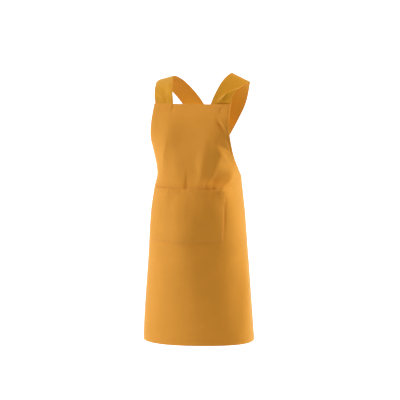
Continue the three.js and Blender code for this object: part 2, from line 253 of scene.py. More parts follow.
# Steps of a mesh where it rolls over an edge of the cloth, and where its even steps begin.
EDGE_STEPS, EDGE_DEPTH = np.array([0, 0.3, 0.8, 1.7]), 3.2
ARMHOLE_RUN, SKIRT_RUN = 400.0, 480.0  # rough lengths of the armhole edge and of the fall below it


def body_grid(bib_rows, skirt_rows, columns):
    """Arcs and cut heights of the sheet, row by row from the neckline to the hem, closer at its edges."""
    share = np.concatenate([EDGE_STEPS / ARMHOLE_RUN, np.linspace(EDGE_DEPTH / ARMHOLE_RUN, 1, bib_rows)])
    ends, end_z = armhole_line(share)
    middle_z = NECKLINE_Z + (YOKE_Z - NECKLINE_Z) * share
    even_fall = np.linspace(0, 1 - EDGE_DEPTH / SKIRT_RUN, skirt_rows)[1:]
    fall = np.concatenate([even_fall, 1 - EDGE_STEPS[::-1] / SKIRT_RUN])
    ends = np.concatenate([ends, BACK_CORNER_ARC + (HEM_HALF_ARC - BACK_CORNER_ARC) * fall])
    end_z = np.concatenate([end_z, BACK_CORNER_Z + (HEM_Z - BACK_CORNER_Z) * fall])
    middle_z = np.concatenate([middle_z, YOKE_Z + (HEM_Z - YOKE_Z) * fall])
    field = np.linspace(-1, 1, columns) * (ends[:, None] - EDGE_DEPTH)
    left = ends[:, None] - EDGE_STEPS[::-1]
    arc = np.concatenate([-left[:, ::-1], field, left], axis=1)
    z = middle_z[:, None] + (end_z - middle_z)[:, None] * (arc / ends[:, None]) ** 2
    return arc, z


# Turned edges: width of the hem at the neckline, the armholes, the back edges and the foot, the run
# over which its inner edge steps down, and how far the row of stitches lies from that edge.
NECK_HEM, ARMHOLE_HEM, BACK_HEM, FOOT_HEM = 15.0, 10.0, 12.0, 20.0
HEM_STEP, SEAM_INSET = 3.0, 1.8

# Puckers of sewn cloth: their height, how far from the row they reach, and the runs along the row in
# which they follow each other, crowd together and swell.
PUCKER, PUCKER_REACH = 0.35, 8.0
PUCKER_RUN, CROWDING_RUN, SWELL_RUN = 3.1, 13.0, 37.0


def straight(start, end, step=1.0):
    """Even points from one place of the flat cloth to another."""
    start, end = np.array(start, float), np.array(end, float)
    share = np.linspace(0, 1, int(np.linalg.norm(end - start) / step))[:, None]
    return start * (1 - share) + end * share


def body_edges(step):
    """The edges of the flat cut as lines of arcs and heights, each with the width of its hem."""
    neck = straight((-BIB_HALF_ARC, NECKLINE_Z), (BIB_HALF_ARC, NECKLINE_Z), step)
    armhole = np.stack(armhole_line(np.linspace(0, 1, int(ARMHOLE_RUN / step))), 1)
    back = straight((BACK_CORNER_ARC, BACK_CORNER_Z), (HEM_HALF_ARC, HEM_Z), step)
    foot = straight((-HEM_HALF_ARC, HEM_Z), (HEM_HALF_ARC, HEM_Z), step)
    mirror = np.array([-1, 1])
    return [
        (neck, NECK_HEM),
        (armhole, ARMHOLE_HEM),
        (armhole * mirror, ARMHOLE_HEM),
        (back, BACK_HEM),
        (back * mirror, BACK_HEM),
        (foot, FOOT_HEM),
    ]


def run_of(line):
    """Length along a line of points up to each of them."""
    return np.concatenate([[0], np.cumsum(np.linalg.norm(np.diff(line, axis=0), axis=1))])


LOT = 2000  # places that are measured at a time, to save memory


def nearest_on(line, places):
    """Distance from each place to a line of points in the flat cloth, and how far along it that is."""
    flat = places.reshape(-1, 2)
    away, along = np.empty(len(flat)), np.empty(len(flat))
    a, step, run = line[:-1], np.diff(line, axis=0), run_of(line)
    for start in range(0, len(flat), LOT):
        lot = slice(start, start + LOT)
        p = flat[lot, None]
        t = np.clip(((p - a) * step).sum(-1) / (step**2).sum(-1), 0, 1)
        gap = np.linalg.norm(p - a - t[..., None] * step, axis=-1)
        best = gap.argmin(1)
        rows = np.arange(len(best))
        away[lot] = gap[rows, best]
        along[lot] = run[best] + t[rows, best] * np.diff(run)[best]
    return away.reshape(places.shape[:-1]), along.reshape(places.shape[:-1])


def ripple(along):
    """Uneven ripple of sewn cloth along a seam, from -1 to 1."""
    crowding = 1.4 * np.sin(along / CROWDING_RUN)
    swell = 0.65 + 0.35 * np.sin(along / SWELL_RUN + 1)
    return np.sin(along / PUCKER_RUN + crowding) * swell


def turned(hem, away):
    """Share of the turned layers at distances from the edge of a hem, with a soft step at its end."""
    return ease((hem + HEM_STEP / 2 - away) / HEM_STEP)


EDGE_FLAT = 0.05  # half of the flat that is left at the very edge of a rolled sheet


def cloth_faces(base, layers, edge):
    """Outer and inner face of a sheet whose edge is rolled round."""
    facing = facing_of(base)
    roll = layers / 2 - EDGE_FLAT
    tuck = roll - np.sqrt(np.clip(roll**2 - np.clip(roll - edge, 0, roll) ** 2, 0, None))
    return base - facing * tuck[..., None], base - facing * (layers - tuck)[..., None]


def sheet_mesh(name, outer, inner, uv, attributes):
    """Closed shell between two grids of points in millimetres, with the flat cloth as its UV map."""
    rows, columns = outer.shape[:2]
    points = np.concatenate([outer.reshape(-1, 3), inner.reshape(-1, 3)]) * MM
    number = np.arange(rows * columns).reshape(rows, columns)
    a, b, c, d = number[:-1, :-1], number[1:, :-1], number[1:, 1:], number[:-1, 1:]
    back = rows * columns
    front_faces = np.stack([a, b, c, d], -1).reshape(-1, 4)
    back_faces = np.stack([a, d, c, b], -1).reshape(-1, 4) + back
    rims = []
    for line, flip in ((number[0], 1), (number[-1], 0), (number[:, 0], 0), (number[:, -1], 1)):
        p, q = (line[:-1], line[1:]) if flip else (line[1:], line[:-1])
        rims.append(np.stack([p, q, q + back, p + back], -1))
    faces = np.concatenate([front_faces, back_faces, *rims])
    mesh = bpy.data.meshes.new(name)
    mesh.from_pydata(points.tolist(), [], faces.tolist())
    flat = np.concatenate([uv.reshape(-1, 2), uv.reshape(-1, 2)]) * MM
    loops = np.empty(len(mesh.loops), dtype=np.int32)
    mesh.loops.foreach_get("vertex_index", loops)
    mesh.uv_layers.new(name="cloth").data.foreach_set("uv", flat[loops].ravel())
    for label, values in attributes.items():
        layer = mesh.attributes.new(label, "FLOAT", "POINT")
        layer.data.foreach_set("value", np.concatenate([values.ravel(), values.ravel()]))
    mesh.polygons.foreach_set("use_smooth", np.ones(len(mesh.polygons), dtype=bool))
    mesh.update()
    obj = bpy.data.objects.new(name, mesh)
    bpy.context.collection.objects.link(obj)
    return obj


def nearer(seam, off_seam):
    """Signed distance to the nearest of two seams."""
    return np.where(np.abs(off_seam) < np.abs(seam), off_seam, seam)


MID_CLOTH = 30.0  # a distance beyond the widest hem

arc, cut_z = body_grid(bib_rows=104, skirt_rows=92, columns=187)
places = np.stack([arc, cut_z], -1)
edge, seam = np.full(arc.shape, MID_CLOTH), np.full(arc.shape, MID_CLOTH)
layers, pucker = np.full(arc.shape, CANVAS), np.zeros(arc.shape)
for line, hem in body_edges(step=2.0):
    away, along = nearest_on(line, places)
    off_seam = away - hem + SEAM_INSET
    seam, edge = nearer(seam, off_seam), np.minimum(edge, away)
    layers = np.maximum(layers, CANVAS + (HEM_LAYERS - CANVAS) * turned(hem, away))
    pucker += PUCKER * ripple(along) * np.exp(-((off_seam / PUCKER_REACH) ** 2))
base = body_face(arc, cut_z)
base = base + facing_of(base) * pucker[..., None]
faces = cloth_faces(base, layers, edge)
body = sheet_mesh("apron_body_cloth", *faces, places, {"edge": edge, "seam": seam})


def set_inputs(tree, node, inputs):
    """Set the inputs of a node to values, or link them to sockets, by name or number."""
    for key, value in inputs.items():
        if isinstance(value, bpy.types.NodeSocket):
            tree.links.new(value, node.inputs[key])
        else:
            node.inputs[key].default_value = value


def add_node(tree, kind, inputs=None, **settings):
    """A shader node with its settings and inputs."""
    node = tree.nodes.new("ShaderNode" + kind)
    for key, value in settings.items():
        setattr(node, key, value)
    set_inputs(tree, node, inputs or {})
    return node


def calc(tree, operation, *values):
    """The result of one step of arithmetic on numbers or sockets."""
    return add_node(tree, "Math", dict(enumerate(values)), operation=operation).outputs[0]


def fade(tree, value, start, end):
    """A mask that falls smoothly from 1 at start to 0 at end."""
    span = {"Value": value, "From Min": start, "From Max": end, "To Min": 1.0, "To Max": 0.0}
    return add_node(tree, "MapRange", span, interpolation_type="SMOOTHSTEP").outputs[0]


def weighted(tree, constant, *terms):
    """A constant plus the sum of values, each times its weight."""
    total = constant
    for value, weight in terms:
        total = calc(tree, "MULTIPLY_ADD", value, weight, total)
    return total


def noise(tree, place, scale, detail):
    """Soft random tone over the surface, finer as the scale grows."""
    return add_node(tree, "TexNoise", {"Vector": place, "Scale": scale, "Detail": detail}).outputs[0]


def scaled(tree, vector, factor):
    """A place or a colour times a number."""
    return add_node(tree, "VectorMath", {0: vector, "Scale": factor}, operation="SCALE").outputs[0]


def new_group(name, inputs, outputs):
    """An empty shader node group with named sockets, its input sockets and its output node."""
    group = bpy.data.node_groups.new(name, "ShaderNodeTree")
    for way, sockets in (("INPUT", inputs), ("OUTPUT", outputs)):
        for label, kind in sockets:
            group.interface.new_socket(label, in_out=way, socket_type="NodeSocket" + kind)
    return group, group.nodes.new("NodeGroupInput").outputs, group.nodes.new("NodeGroupOutput")


# Weave: how flat the crown of a thread is, how soon one thread passes over another, how far the tone
# of a thread differs from the next one's and changes along it, and how many clouds of dye and tufts of
# nap there are to a metre.
CROWN_FLATNESS, CROSSING = 0.6, 0.2
SLUB_SPREAD, SLUB_CHANGE = 0.37, 0.012
CLOUDS, TUFTS = 14.0, 330.0

# Millimetres over which the cloth sinks beside a row of stitches and is painted darker there as shade of
# the groove, is drawn in by it, and is rubbed pale along an edge, and how pale it is rubbed at most.
SINKING_AND_SHADE, DRAWING, RUBBING = (0.2, 1.6), (1.0, 9.0), (0.2, 2.0)
RUBBED_MOST = 0.6


def canvas_weave():
    """Plain weave of slubby cotton threads, sunk along the seams with painted shade in the groove, and
    rubbed pale along the edges.
    """
    group, given, out = new_group(
        "canvas_weave",
        [("Cloth", "Vector"), ("Tint", "Color"), ("Rubbed Tint", "Color"), ("Pitch", "Float"),
         ("Slubs", "Float"), ("Edge", "Float"), ("Seam", "Float")],
        [("Color", "Color"), ("Roughness", "Float"), ("Height", "Float")],
    )
    threads = scaled(group, given["Cloth"], calc(group, "DIVIDE", 1 / MM, given["Pitch"]))
    warp, weft = add_node(group, "SeparateXYZ", {0: threads}).outputs[:2]
    waves = [calc(group, "SINE", calc(group, "MULTIPLY", thread, math.pi)) for thread in (warp, weft)]
    over = calc(group, "MULTIPLY", *waves)
    crown = calc(group, "POWER", calc(group, "ABSOLUTE", over), CROWN_FLATNESS)
    weft_up = fade(group, over, -CROSSING, CROSSING)

    def slubs(thread, along):
        """Tone of each thread, changing slowly along it."""
        which = calc(group, "MULTIPLY", calc(group, "FLOOR", thread), SLUB_SPREAD)
        spot = add_node(group, "CombineXYZ", {0: which, 1: calc(group, "MULTIPLY", along, SLUB_CHANGE)})
        return noise(group, spot.outputs[0], 1.0, 2.0)

    tones = {0: weft_up, 2: slubs(warp, weft), 3: slubs(weft, warp)}
    tone = add_node(group, "Mix", tones).outputs[0]
    cloud = noise(group, given["Cloth"], CLOUDS, 4.0)
    nap = noise(group, given["Cloth"], TUFTS, 3.0)
    off_seam = calc(group, "ABSOLUTE", given["Seam"])
    # Where the cloth sinks beside a seam it is also painted darker: painted shade in the groove.
    sunk_and_shaded = fade(group, off_seam, *SINKING_AND_SHADE)
    drawn = calc(group, "MULTIPLY", fade(group, off_seam, *DRAWING), nap)
    uneven = calc(group, "MULTIPLY", nap, RUBBED_MOST)
    rubbed = calc(group, "MULTIPLY", fade(group, given["Edge"], *RUBBING), uneven)

    # Brightness of the threads, with painted shade where the cloth sinks beside a seam.
    bright = weighted(group, 0.77, (crown, 0.16), (cloud, 0.14), (nap, 0.06), (sunk_and_shaded, -0.06), (drawn, 0.03))
    bright = calc(group, "MULTIPLY_ADD", tone, given["Slubs"], bright)
    tints = {0: rubbed, 6: scaled(group, given["Tint"], bright), 7: given["Rubbed Tint"]}
    set_inputs(group, out, {
        "Color": add_node(group, "Mix", tints, data_type="RGBA").outputs[2],
        "Roughness": weighted(group, 0.9, (crown, -0.08), (tone, -0.06), (rubbed, 0.08)),
        "Height": weighted(group, 0.0, (crown, 0.036), (tone, 0.026), (sunk_and_shaded, -0.15), (drawn, 0.25)),
    })
    return group


WEAVE = canvas_weave()
THREAD_PITCH, SLUBS = 0.65, 0.14  # millimetres between threads, and how much their tone varies
MUSTARD, RUBBED_MUSTARD = (0.785, 0.295, 0.022), (0.86, 0.42, 0.07)


def canvas_material(name, tint=MUSTARD):
    """Cotton canvas, matt with a soft nap that lights up at a glancing angle."""
    material = bpy.data.materials.new(name)
    material.use_nodes = True
    tree = material.node_tree
    weave = add_node(tree, "Group", {
        "Cloth": add_node(tree, "UVMap", uv_map="cloth").outputs["UV"],
        "Edge": add_node(tree, "Attribute", attribute_name="edge").outputs["Fac"],
        "Seam": add_node(tree, "Attribute", attribute_name="seam").outputs["Fac"],
        "Tint": (*tint, 1),
        "Rubbed Tint": (*RUBBED_MUSTARD, 1),
        "Pitch": THREAD_PITCH,
        "Slubs": SLUBS,
    }, node_tree=WEAVE).outputs
    bump = add_node(tree, "Bump", {"Height": weave["Height"], "Strength": 1.0, "Distance": MM})
    set_inputs(tree, tree.nodes["Principled BSDF"], {
        "Base Color": weave["Color"],
        "Roughness": weave["Roughness"],
        "Normal": bump.outputs["Normal"],
        "Specular IOR Level": 0.3,
        "Sheen Weight": 0.45,
        "Sheen Roughness": 0.4,
        "Sheen Tint": (0.85, 0.95, 0.55, 1),
    })
    return material


body.data.materials.append(canvas_material("body_canvas"))

# Sewing thread: its colour, the depth of its twist in millimetres, and how fine its fibres and its
# twist are.
THREAD_TINT, TWIST_DEPTH = (0.80, 0.32, 0.025), 0.06
FIBRES, TWISTS = 2600.0, 900.0


def thread_material(name):
    """Twisted cotton sewing thread."""
    material = bpy.data.materials.new(name)
    material.use_nodes = True
    tree = material.node_tree
    place = add_node(tree, "TexCoord").outputs["Object"]
    fibres = noise(tree, place, FIBRES, 2.0)
    turns = {"Vector": place, "Scale": TWISTS, "Distortion": 3.0}
    twist = add_node(tree, "TexWave", turns, bands_direction="DIAGONAL").outputs["Fac"]
    bright = weighted(tree, 0.72, (fibres, 0.3), (twist, 0.26))
    bump = add_node(tree, "Bump", {"Height": twist, "Strength": 0.5, "Distance": TWIST_DEPTH * MM})
    set_inputs(tree, tree.nodes["Principled BSDF"], {
        "Base Color": scaled(tree, THREAD_TINT, bright),
        "Normal": bump.outputs["Normal"],
        "Roughness": 0.6,
        "Sheen Weight": 0.3,
    })
    return material


THREAD_MATERIAL = thread_material("mustard_thread")

# Rows of stitches: length of a stitch, the gap to the next one and the thickness of the thread, and
# as shares of that how deep a stitch sinks at its ends, how far it rises, and how thin it gets.
STITCH, STITCH_GAP, THREAD = 2.6, 0.7, 0.5
STITCH_SINK, STITCH_RISE, STITCH_TIP = 0.3, 0.55, 0.5
STITCH_RINGS, STITCH_SIDES = 5, 6


def stitch_mesh(name, seams):
    """Rows of small spindles of thread, each row given by points and facings in millimetres."""
    share = np.linspace(0, 1, STITCH_RINGS)
    turn = np.linspace(0, 2 * math.pi, STITCH_SIDES, endpoint=False)
    swell = np.sin(math.pi * share)
    points = []
    for line, facing in seams:
        run = run_of(line)
        starts = np.arange(STITCH_GAP, run[-1] - STITCH, STITCH + STITCH_GAP)
        at = starts[:, None] + STITCH * share
        centre, up, ahead = (
            np.stack([np.interp(at, run, values[:, i]) for i in range(3)], -1)
            for values in (line, facing, np.gradient(line, axis=0))
        )
        side = unit(np.cross(up, ahead))
        centre = centre + up * (THREAD * (STITCH_RISE * swell - STITCH_SINK))[:, None]
        radius = (THREAD / 2 * (STITCH_TIP + (1 - STITCH_TIP) * swell))[:, None, None]
        around = np.cos(turn)[:, None] * side[:, :, None] + np.sin(turn)[:, None] * up[:, :, None]
        points.append((centre[:, :, None] + radius * around).reshape(-1, 3))
    points = np.concatenate(points) * MM
    first = np.arange(0, len(points), STITCH_RINGS * STITCH_SIDES)[:, None, None]
    ring = first + np.arange(STITCH_RINGS - 1)[None, :, None] * STITCH_SIDES
    corner = np.arange(STITCH_SIDES)[None, None, :]
    after, beyond = (corner + 1) % STITCH_SIDES, ring + STITCH_SIDES
    quads = np.stack([ring + corner, ring + after, beyond + after, beyond + corner], -1).reshape(-1, 4)
    starts = (first[:, 0] + corner[0, :, ::-1]).reshape(-1, STITCH_SIDES)
    ends = (first[:, 0] + (STITCH_RINGS - 1) * STITCH_SIDES + corner[0]).reshape(-1, STITCH_SIDES)
    mesh = bpy.data.meshes.new(name)
    mesh.from_pydata(points.tolist(), [], quads.tolist() + starts.tolist() + ends.tolist())
    mesh.polygons.foreach_set("use_smooth", np.ones(len(mesh.polygons), dtype=bool))
    mesh.materials.append(THREAD_MATERIAL)
    obj = bpy.data.objects.new(name, mesh)
    bpy.context.collection.objects.link(obj)
    return obj


CLOTH_MIDDLE = np.array([0, -500])  # arc and height of a place amid the cloth


def inset(line, distance):
    """A line of the flat cloth moved towards its middle, without the ends that pass the next hems."""
    ahead = np.gradient(line, axis=0)
    aside = unit(np.stack([-ahead[:, 1], ahead[:, 0]], 1))
    inwards = np.sign((aside * (CLOTH_MIDDLE - line)).sum(1, keepdims=True))
    moved, run = line + aside * inwards * distance, run_of(line)
    return moved[(run > distance) & (run < run[-1] - distance)]


def face_frame(face, line, reach=1.0):
    """Points of a face along a line of the flat cloth, and the way that it faces there."""
    arc, cut_z = line.T
    along = face(arc + reach, cut_z) - face(arc - reach, cut_z)
    down = face(arc, cut_z - reach) - face(arc, cut_z + reach)
    return face(arc, cut_z), unit(np.cross(down, along))


def both_faces(points, facing, layers):
    """The same row of stitches on the outer and on the inner face of a sheet."""
    return [(points, facing), (points - facing * layers, -facing)]


# The row that holds the end of a strap: how far inside its edges it runs, and below the neckline stops.
TAIL_ROW_IN, TAIL_ROW_TOP = 4.0, 3.0

seams = []
for line, hem in body_edges(step=1.0):
    sewn = inset(line, hem - SEAM_INSET)
    points, facing = face_frame(body_face, sewn)
    points = points + facing * (PUCKER * ripple(nearest_on(line, sewn)[1]))[:, None]
    seams += both_faces(points, facing, HEM_LAYERS)
for middle in (-STRAP_BIB_ARC, STRAP_BIB_ARC):
    right_arc, left_arc = middle - STRAP_WIDTH / 2 + TAIL_ROW_IN, middle + STRAP_WIDTH / 2 - TAIL_ROW_IN
    top, low = NECKLINE_Z - TAIL_ROW_TOP, NECKLINE_Z - STRAP_TAIL + TAIL_ROW_IN
    corners = [(right_arc, top), (right_arc, low), (left_arc, low), (left_arc, top)]
    seams += [face_frame(body_face, straight(p, q)) for p, q in zip(corners, corners[1:])]
body_stitching = stitch_mesh("body_stitching", seams)
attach(body, "root")
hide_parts("apron_body")
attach(body_stitching, "root")

# Pocket
# One wide patch of the same canvas with its edges turned under, stitched to the front by two rows
# along its sides and foot. Its hemmed mouth is left open and bridges the dents behind it.

POCKET_HALF_ARC, POCKET_TOP_Z, POCKET_DEPTH = 134.0, -355.0, 170.0
POCKET_TURNING, MOUTH_HEM = 10.0, 14.0  # widths of the turned edges and of the hem at the mouth

# How far the mouth stands off the body, the share of the depth over which it closes, and the gap that
# is left at the seams.
POCKET_GAPE, GAPE_END, POCKET_GAP = 6.0, 0.9, 0.5

# Rows of stitches: how far from the edge the two of the sides and foot run, how far below the mouth
# they stop, and how far inside them the row of the mouth stops.
POCKET_ROWS_IN, POCKET_ROW_TOP, MOUTH_ROW_END = (2.0, 8.0), 2.0, 1.0

# Puckers of the mouth: their height, how close they are, and where along the ripple they begin.
MOUTH_RIPPLE, MOUTH_CROWDING, MOUTH_START = 0.5, 1.3, 40.0

# Creases of the pocket, in the columns of the folds, and the shares of its half width and depth over
# which they die out towards the seams.
CREASE_END_ACROSS, CREASE_END_DOWN = 0.15, 0.2
POCKET_CREASES = [
    (-6, -340, -1, -550, 8, 10, -0.5, 0.35, 1.0),
    (38, -345, 44, -540, 11, 12, 0.8, 0.4, 0.8),
    (92, -345, 84, -420, 9, 12, -0.9, 0.4, 1.0),
    (-58, -345, -62, -450, 8, 12, 0.7, 0.4, 1.0),
]


def edged(low, high, count):
    """Even places from low to high, with closer ones where the cloth rolls over its edges."""
    field = np.linspace(low + EDGE_DEPTH, high - EDGE_DEPTH, count)
    return np.concatenate([low + EDGE_STEPS, field, high - EDGE_STEPS[::-1]])


def pocket_face(arc, cut_z):
    """Points of the outer face of the pocket at arcs and heights of the flat cut."""
    across, fall = arc / POCKET_HALF_ARC, (POCKET_TOP_Z - cut_z) / POCKET_DEPTH
    z = hung_z(arc, cut_z)
    between_sides = 1 - across**4
    lift = fold_lift(arc, z, FOLDS)
    free = between_sides * (1 - ease(fall / GAPE_END))
    stand = lift + (np.maximum(lift, POCKET_GAPE) - lift) * free + np.maximum(fold_lift(arc, z, CREASES), 0)
    off_seams = ease((1 - np.abs(across)) / CREASE_END_ACROSS) * ease((1 - fall) / CREASE_END_DOWN)
    stand += fold_lift(arc, z, POCKET_CREASES) * off_seams
    at_mouth = between_sides * np.exp(-((fall * POCKET_DEPTH / MOUTH_HEM) ** 2))
    stand += MOUTH_RIPPLE * ripple(arc * MOUTH_CROWDING + MOUTH_START) * at_mouth
    return hang(arc, z) + hang_normal(arc, z) * (stand + POCKET_GAP + HEM_LAYERS)[..., None]


cut_z, arc = np.meshgrid(
    edged(POCKET_TOP_Z - POCKET_DEPTH, POCKET_TOP_Z, count=78)[::-1],
    edged(-POCKET_HALF_ARC, POCKET_HALF_ARC, count=121),
    indexing="ij",
)
from_side, from_foot = POCKET_HALF_ARC - np.abs(arc), cut_z - POCKET_TOP_Z + POCKET_DEPTH
from_mouth = POCKET_TOP_Z - cut_z
sewn = np.minimum(from_side, from_foot)
edge = np.minimum(sewn, from_mouth)
seam = from_mouth - MOUTH_HEM + SEAM_INSET
for row in POCKET_ROWS_IN:
    seam = nearer(seam, sewn - row)
hems = np.maximum(turned(POCKET_TURNING, sewn), turned(MOUTH_HEM, from_mouth))
layers = CANVAS + (HEM_LAYERS - CANVAS) * hems
pocket = sheet_mesh(
    "pocket_cloth",
    *cloth_faces(pocket_face(arc, cut_z), layers, edge),
    np.stack([arc, cut_z], -1),
    {"edge": edge, "seam": seam},
)
pocket.data.materials.append(canvas_material("pocket_canvas"))

seams = []
for row in POCKET_ROWS_IN:
    side, foot = POCKET_HALF_ARC - row, POCKET_TOP_Z - POCKET_DEPTH + row
    top = POCKET_TOP_Z - POCKET_ROW_TOP
    corners = [(-side, top), (-side, foot), (side, foot), (side, top)]
    seams += [face_frame(pocket_face, straight(p, q)) for p, q in zip(corners, corners[1:])]
hem_z = POCKET_TOP_Z - MOUTH_HEM + SEAM_INSET
hem_end = POCKET_HALF_ARC - POCKET_ROWS_IN[1] - MOUTH_ROW_END
mouth_row = face_frame(pocket_face, straight((-hem_end, hem_z), (hem_end, hem_z)))
seams += both_faces(*mouth_row, HEM_LAYERS)
pocket_stitching = stitch_mesh("pocket_stitching", seams)
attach(pocket, "root")
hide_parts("pocket")
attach(pocket_stitching, "root")

# Straps
# Each strap is a wide band of canvas folded double and stitched along both edges. It is sewn behind
# the top of the bib, goes over one shoulder, crosses the other strap on the back and is sewn behind
# the far back corner.

# The straps' tint is the body's mustard made darker and yellower: painted shade and painted warm light on
# the straps.
STRAP_MUSTARD_AND_SHADE = (0.715, 0.292, 0.006)  # a little deeper and yellower than the body
STRAP_LAYERS = 1.6  # thickness of the doubled cloth
STRAP_BACK_ARC, STRAP_BACK_SPAN = 322.0, 78.0  # middle and spread of the end sewn to the back corner
STRAP_LEAD = 7.0  # how far above the back edge a strap meets the line of the cloth
STRAP_LIFT = 3.6  # how far the right strap lies over the left one
STRAP_INSET = 2.9  # how far behind the face of the body the sewn ends lie
STRAP_ROW_IN = 5.0  # how far inside the edges the rows of stitches run
CREASE_START = 5.0  # run above the bib in which the creases set in

# Middle line: x, y, z, the direction of the width, and how far the outer edge of the left strap is
# drawn towards the middle. Behind the crest y follows the back ovals.
STRAP_STATIONS = [
    (111, -66, -53, 0.98, 0.06, -0.18, 11),
    (124, -37, -19, 0.93, 0.02, -0.36, 5),
    (136, 0, 0, 0.91, 0.00, -0.41, 1),
    (120, 35, -16, 0.91, 0.06, -0.41, 0),
    (88, None, -68, 0.87, 0.00, -0.49, 0),
    (49, None, -134, 0.85, 0.00, -0.53, 0),
    (6, None, -206, 0.85, 0.00, -0.53, 0),
    (-38, None, -276, 0.88, 0.00, -0.48, 0),
]

# From the chest over the crest: how much higher the left strap sits on its shoulder, and how much
# less the right strap slopes across its own.
LEFT_RISE, RIGHT_LEVEL = (0, 2.5, 4, 3, 0, 0, 0, 0), (0, 0.1, 0.18, 0.1, 0, 0, 0, 0)

# Creases in front of the shoulder, in the columns of the folds: places across the strap, towards
# the wearer's left, and up from the neckline.
STRAP_CREASES = {
    "strap_left": [
        (46, 88, -18, 7, 5, 4, 11.0, 0.55, 2.6),
        (-28, 4, 46, 4, 3.5, 3.5, -5.0, 0.5, 1.0),
        (-4, 60, -24, 12, 9, 7, -1.2, 0.6, 1.0),
        (20, 130, 14, 80, 12, 10, -0.8, 0.5, 1.0),
    ],
    "strap_right": [
        (-30, 50, 12, 14, 5, 5, 2.6, 0.5, 1.0),
        (-37, 175, -37, 75, 9, 9, -4.0, 0.5, 1.0),
        (-12, 74, 18, 26, 9, 9, -2.8, 0.55, 1.0),
        (2, 26, 14, 2, 4, 4, -1.6, 0.5, 1.0),
        (-34, 30, -10, 8, 5, 5, -1.2, 0.5, 1.0),
        (14, 96, 28, 40, 8, 8, 1.6, 0.5, 1.0),
    ],
}


def smooth_line(points, count):
    """Centripetal spline through points, sampled evenly between each pair of them."""
    points = np.asarray(points, float)
    ends = [2 * points[0] - points[1], *points, 2 * points[-1] - points[-2]]
    place = np.linspace(0, len(points) - 1, count)
    out = np.empty((count, 3))
    for n, at in enumerate(place):
        k = min(int(at), len(points) - 2)
        p0, p1, p2, p3 = ends[k : k + 4]
        d0, d1, d2 = (math.sqrt(np.linalg.norm(q - p)) for p, q in ((p0, p1), (p1, p2), (p2, p3)))
        m1 = ((p1 - p0) / d0 - (p2 - p0) / (d0 + d1) + (p2 - p1) / d1) * d1
        m2 = ((p2 - p1) / d1 - (p3 - p1) / (d1 + d2) + (p3 - p2) / d2) * d1
        out[n] = cubic(at - k, p1, p2, m1, m2)
    return out


def inside_cloth(arc, z):
    """A point just behind the unfolded cloth."""
    arc, z = np.array([arc]), np.array([z])
    return (hang(arc, z) - hang_normal(arc, z) * STRAP_INSET)[0]


def strap_grid(lift, bunching, places, rows):
    """Points of the left strap at places across it, row by row from its back end over to the bib."""
    edge_arc, edge_z = armhole_line(FINE_SHARES)
    lines = []
    for half in places:
        side = 2 * half / STRAP_WIDTH
        bib_arc, back_arc = STRAP_BIB_ARC + half, STRAP_BACK_ARC + side * STRAP_BACK_SPAN / 2
        back_z = np.interp(back_arc, edge_arc, edge_z)
        points = [inside_cloth(bib_arc, NECKLINE_Z - STRAP_TAIL), inside_cloth(bib_arc, NECKLINE_Z)]
        for station, rise, level in zip(STRAP_STATIONS, LEFT_RISE, RIGHT_LEVEL):
            x, y, z, across_x, across_y, across_z, drawn_in = station
            aside = half - bunching * max(0, side) * drawn_in
            height = z + bunching * rise + aside * (across_z + (1 - bunching) * level)
            depth = section_at(height, BACK) + lift if y is None else y + aside * across_y
            points.append((x + aside * across_x, float(depth), height))
        points.append(inside_cloth(-back_arc, back_z + STRAP_LEAD))
        points.append(inside_cloth(-back_arc, back_z - STRAP_TAIL))
        lines.append(smooth_line(points, rows))
    return np.stack(lines, 1)[::-1]


for name, lift, bunching, side in (("strap_left", 0.0, 1, 1), ("strap_right", STRAP_LIFT, 0, -1)):
    across = edged(-STRAP_WIDTH / 2, STRAP_WIDTH / 2, count=33)
    base = strap_grid(lift, bunching, across, rows=301)
    if side < 0:
        base = (base * np.array([-1, 1, 1]))[:, ::-1]
    run = run_of(base[:, base.shape[1] // 2])
    above_bib = run[-1] - STRAP_TAIL - run[:, None]
    crease = fold_lift(across[None, :], above_bib, STRAP_CREASES[name]) * ease(above_bib / CREASE_START)
    bib_lift = fold_lift(side * STRAP_BIB_ARC + across[None, :], NECKLINE_Z + above_bib, CREASES)
    crease += np.where(above_bib < 0, np.minimum(bib_lift, 0), 0)
    base = base + facing_of(base) * crease[..., None]
    flat = np.stack(np.broadcast_arrays(across[None, :], run[:, None]), -1)
    ends = np.minimum(run, run[-1] - run)[:, None]
    edge = np.minimum(STRAP_WIDTH / 2 - np.abs(across)[None, :], ends)
    seam = STRAP_WIDTH / 2 - np.abs(flat[..., 0]) - STRAP_ROW_IN
    layers = np.full(edge.shape, STRAP_LAYERS)
    faces = cloth_faces(base, layers, edge)
    strap = sheet_mesh(name + "_cloth", *faces, flat, {"edge": edge, "seam": seam})
    strap.data.materials.append(canvas_material(name + "_canvas", STRAP_MUSTARD_AND_SHADE))
    facing, seams = facing_of(base), []
    for column in (-1, 1):
        at = np.abs(across - column * (STRAP_WIDTH / 2 - STRAP_ROW_IN)).argmin()
        seams += both_faces(base[:, at], facing[:, at], STRAP_LAYERS)
    stitching = stitch_mesh(name + "_stitching", seams)
    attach(strap, "root")
    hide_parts(name)
    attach(stitching, "root")

# Room
# A pale floor that sweeps up into a plain backdrop, which glows white behind the apron from painted light
# in its own emission, and that glow also lights the apron from behind. A large soft light stands at each
# side and one above, and the camera looks from a little above at three quarters.

# Metres: height of the floor, its half width, how near it begins, where its bend begins, the bend's
# radius, and how high the backdrop goes on above the floor.
FLOOR_Z, FLOOR_HALF_WIDTH, FLOOR_NEAR = -1.33, 9.0, -2.5
BEND_START, BEND_RADIUS, BACKDROP_TOP = 2.0, 1.5, 5.0
BEND_STEPS = 24
FLOOR_WHITE = (0.95, 0.95, 0.94, 1)

